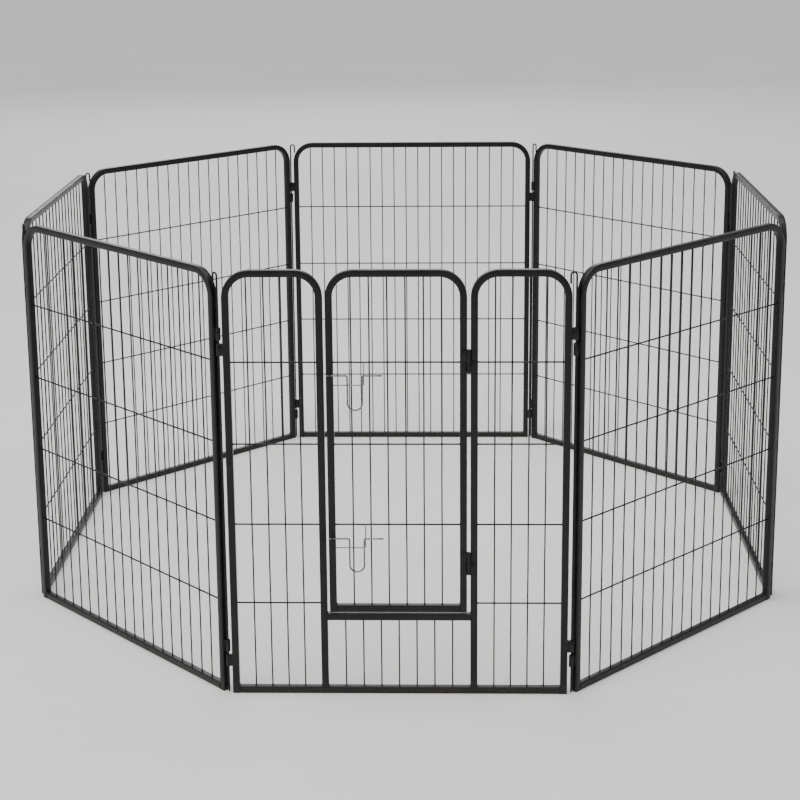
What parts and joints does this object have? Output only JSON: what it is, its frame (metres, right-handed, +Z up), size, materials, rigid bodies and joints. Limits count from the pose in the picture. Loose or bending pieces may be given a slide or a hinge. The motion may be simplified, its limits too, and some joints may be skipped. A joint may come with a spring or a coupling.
{
  "type": "pet playpen",
  "caption": "Octagonal wire-mesh pet playpen of rounded tube-framed panels pinned by corner rods, with a latched door in one panel.",
  "frame": {"origin": "on the ground, in the middle of the pen", "axes": "+Z up; the gate panel faces -Y; +X is to the right seen from in front of the gate"},
  "size_m": [1.9196, 1.9281, 1],
  "materials": {
    "tube": "black powder coat, satin to glossy",
    "mesh_wire": "black powder coat, satin to glossy",
    "rod": "dark coated steel, glossy",
    "latch_wire": "zinc-plated wire"
  },
  "bodies": {
    "gate_panel": {"gate_left_frame": "tube", "gate_right_frame": "tube", "gate_bottom_rail": "tube", "gate_sill_rail": "tube", "gate_left_wire_mesh": "mesh_wire", "gate_right_wire_mesh": "mesh_wire", "lower_hinge_post_leaf": "tube", "upper_hinge_post_leaf": "tube", "lower_hinge_pin": "rod", "upper_hinge_pin": "rod", "lower_latch_keeper": "tube", "upper_latch_keeper": "tube"},
    "right_front_panel": {"right_front_panel_frame": "tube", "right_front_panel_bottom_rail": "tube", "right_front_panel_wire_mesh": "mesh_wire"},
    "right_panel": {"right_panel_frame": "tube", "right_panel_bottom_rail": "tube", "right_panel_wire_mesh": "mesh_wire"},
    "right_back_panel": {"right_back_panel_frame": "tube", "right_back_panel_bottom_rail": "tube", "right_back_panel_wire_mesh": "mesh_wire"},
    "back_panel": {"back_panel_frame": "tube", "back_panel_bottom_rail": "tube", "back_panel_wire_mesh": "mesh_wire"},
    "left_back_panel": {"left_back_panel_frame": "tube", "left_back_panel_bottom_rail": "tube", "left_back_panel_wire_mesh": "mesh_wire"},
    "left_panel": {"left_panel_frame": "tube", "left_panel_bottom_rail": "tube", "left_panel_wire_mesh": "mesh_wire"},
    "left_front_panel": {"left_front_panel_frame": "tube", "left_front_panel_bottom_rail": "tube", "left_front_panel_wire_mesh": "mesh_wire"},
    "door": {"door_frame": "tube", "door_bottom_rail": "tube", "door_wire_mesh": "mesh_wire", "lower_hinge_door_leaf": "tube", "upper_hinge_door_leaf": "tube", "lower_latch_staple": "tube", "upper_latch_staple": "tube", "lower_latch_guide_wire": "latch_wire", "upper_latch_guide_wire": "latch_wire"},
    "lower_latch": {"lower_latch_bolt": "latch_wire"},
    "upper_latch": {"upper_latch_bolt": "latch_wire"},
    "gate_panel_rod": {"gate_panel_rod": "rod"},
    "right_front_panel_rod": {"right_front_panel_rod": "rod"},
    "right_panel_rod": {"right_panel_rod": "rod"},
    "right_back_panel_rod": {"right_back_panel_rod": "rod"},
    "back_panel_rod": {"back_panel_rod": "rod"},
    "left_back_panel_rod": {"left_back_panel_rod": "rod"},
    "left_panel_rod": {"left_panel_rod": "rod"},
    "left_front_panel_rod": {"left_front_panel_rod": "rod"}
  },
  "joints": [
    {"name": "right_front_fold", "type": "hinge", "parent": "gate_panel", "child": "right_front_panel", "pos_m": [0.39425, -0.9518, 0], "axis": [0, 0, 1], "range_deg": [-45, 45]},
    {"name": "right_fold", "type": "hinge", "parent": "right_front_panel", "child": "right_panel", "pos_m": [0.9518, -0.39425, 0], "axis": [0, 0, 1], "range_deg": [-45, 45]},
    {"name": "right_back_fold", "type": "hinge", "parent": "right_panel", "child": "right_back_panel", "pos_m": [0.9518, 0.39425, 0], "axis": [0, 0, 1], "range_deg": [-45, 45]},
    {"name": "back_fold", "type": "hinge", "parent": "right_back_panel", "child": "back_panel", "pos_m": [0.39425, 0.9518, 0], "axis": [0, 0, 1], "range_deg": [-45, 45]},
    {"name": "left_front_fold", "type": "hinge", "parent": "gate_panel", "child": "left_front_panel", "pos_m": [-0.39425, -0.9518, 0], "axis": [0, 0, 1], "range_deg": [-45, 45]},
    {"name": "left_fold", "type": "hinge", "parent": "left_front_panel", "child": "left_panel", "pos_m": [-0.9518, -0.39425, 0], "axis": [0, 0, 1], "range_deg": [-45, 45]},
    {"name": "left_back_fold", "type": "hinge", "parent": "left_panel", "child": "left_back_panel", "pos_m": [-0.9518, 0.39425, 0], "axis": [0, 0, 1], "range_deg": [-45, 45]},
    {"name": "gate_panel_rod_lift", "type": "slide", "parent": "gate_panel", "child": "gate_panel_rod", "axis": [0, 0, 1], "range_m": [0, 0.88]},
    {"name": "right_front_panel_rod_lift", "type": "slide", "parent": "right_front_panel", "child": "right_front_panel_rod", "axis": [0, 0, 1], "range_m": [0, 0.88]},
    {"name": "right_panel_rod_lift", "type": "slide", "parent": "right_panel", "child": "right_panel_rod", "axis": [0, 0, 1], "range_m": [0, 0.88]},
    {"name": "right_back_panel_rod_lift", "type": "slide", "parent": "right_back_panel", "child": "right_back_panel_rod", "axis": [0, 0, 1], "range_m": [0, 0.88]},
    {"name": "back_panel_rod_lift", "type": "slide", "parent": "back_panel", "child": "back_panel_rod", "axis": [0, 0, 1], "range_m": [0, 0.88]},
    {"name": "left_back_panel_rod_lift", "type": "slide", "parent": "left_back_panel", "child": "left_back_panel_rod", "axis": [0, 0, 1], "range_m": [0, 0.88]},
    {"name": "left_panel_rod_lift", "type": "slide", "parent": "left_panel", "child": "left_panel_rod", "axis": [0, 0, 1], "range_m": [0, 0.88]},
    {"name": "left_front_panel_rod_lift", "type": "slide", "parent": "left_front_panel", "child": "left_front_panel_rod", "axis": [0, 0, 1], "range_m": [0, 0.88]},
    {"name": "door_swing", "type": "hinge", "parent": "gate_panel", "child": "door", "pos_m": [0.159, -0.9643, 0], "axis": [0, 0, 1], "range_deg": [0, 170]},
    {"name": "lower_latch_slide", "type": "slide", "parent": "door", "child": "lower_latch", "axis": [1, 0, 0], "range_m": [-0.024, 0]},
    {"name": "upper_latch_slide", "type": "slide", "parent": "door", "child": "upper_latch", "axis": [1, 0, 0], "range_m": [-0.024, 0]}
  ],
  "couplings": [
    {"joint": "right_fold", "follows": "right_front_fold", "ratio": -1},
    {"joint": "right_back_fold", "follows": "right_front_fold", "ratio": 1},
    {"joint": "back_fold", "follows": "right_front_fold", "ratio": -1},
    {"joint": "left_front_fold", "follows": "right_front_fold", "ratio": 1},
    {"joint": "left_fold", "follows": "right_front_fold", "ratio": -1},
    {"joint": "left_back_fold", "follows": "right_front_fold", "ratio": 1}
  ]
}
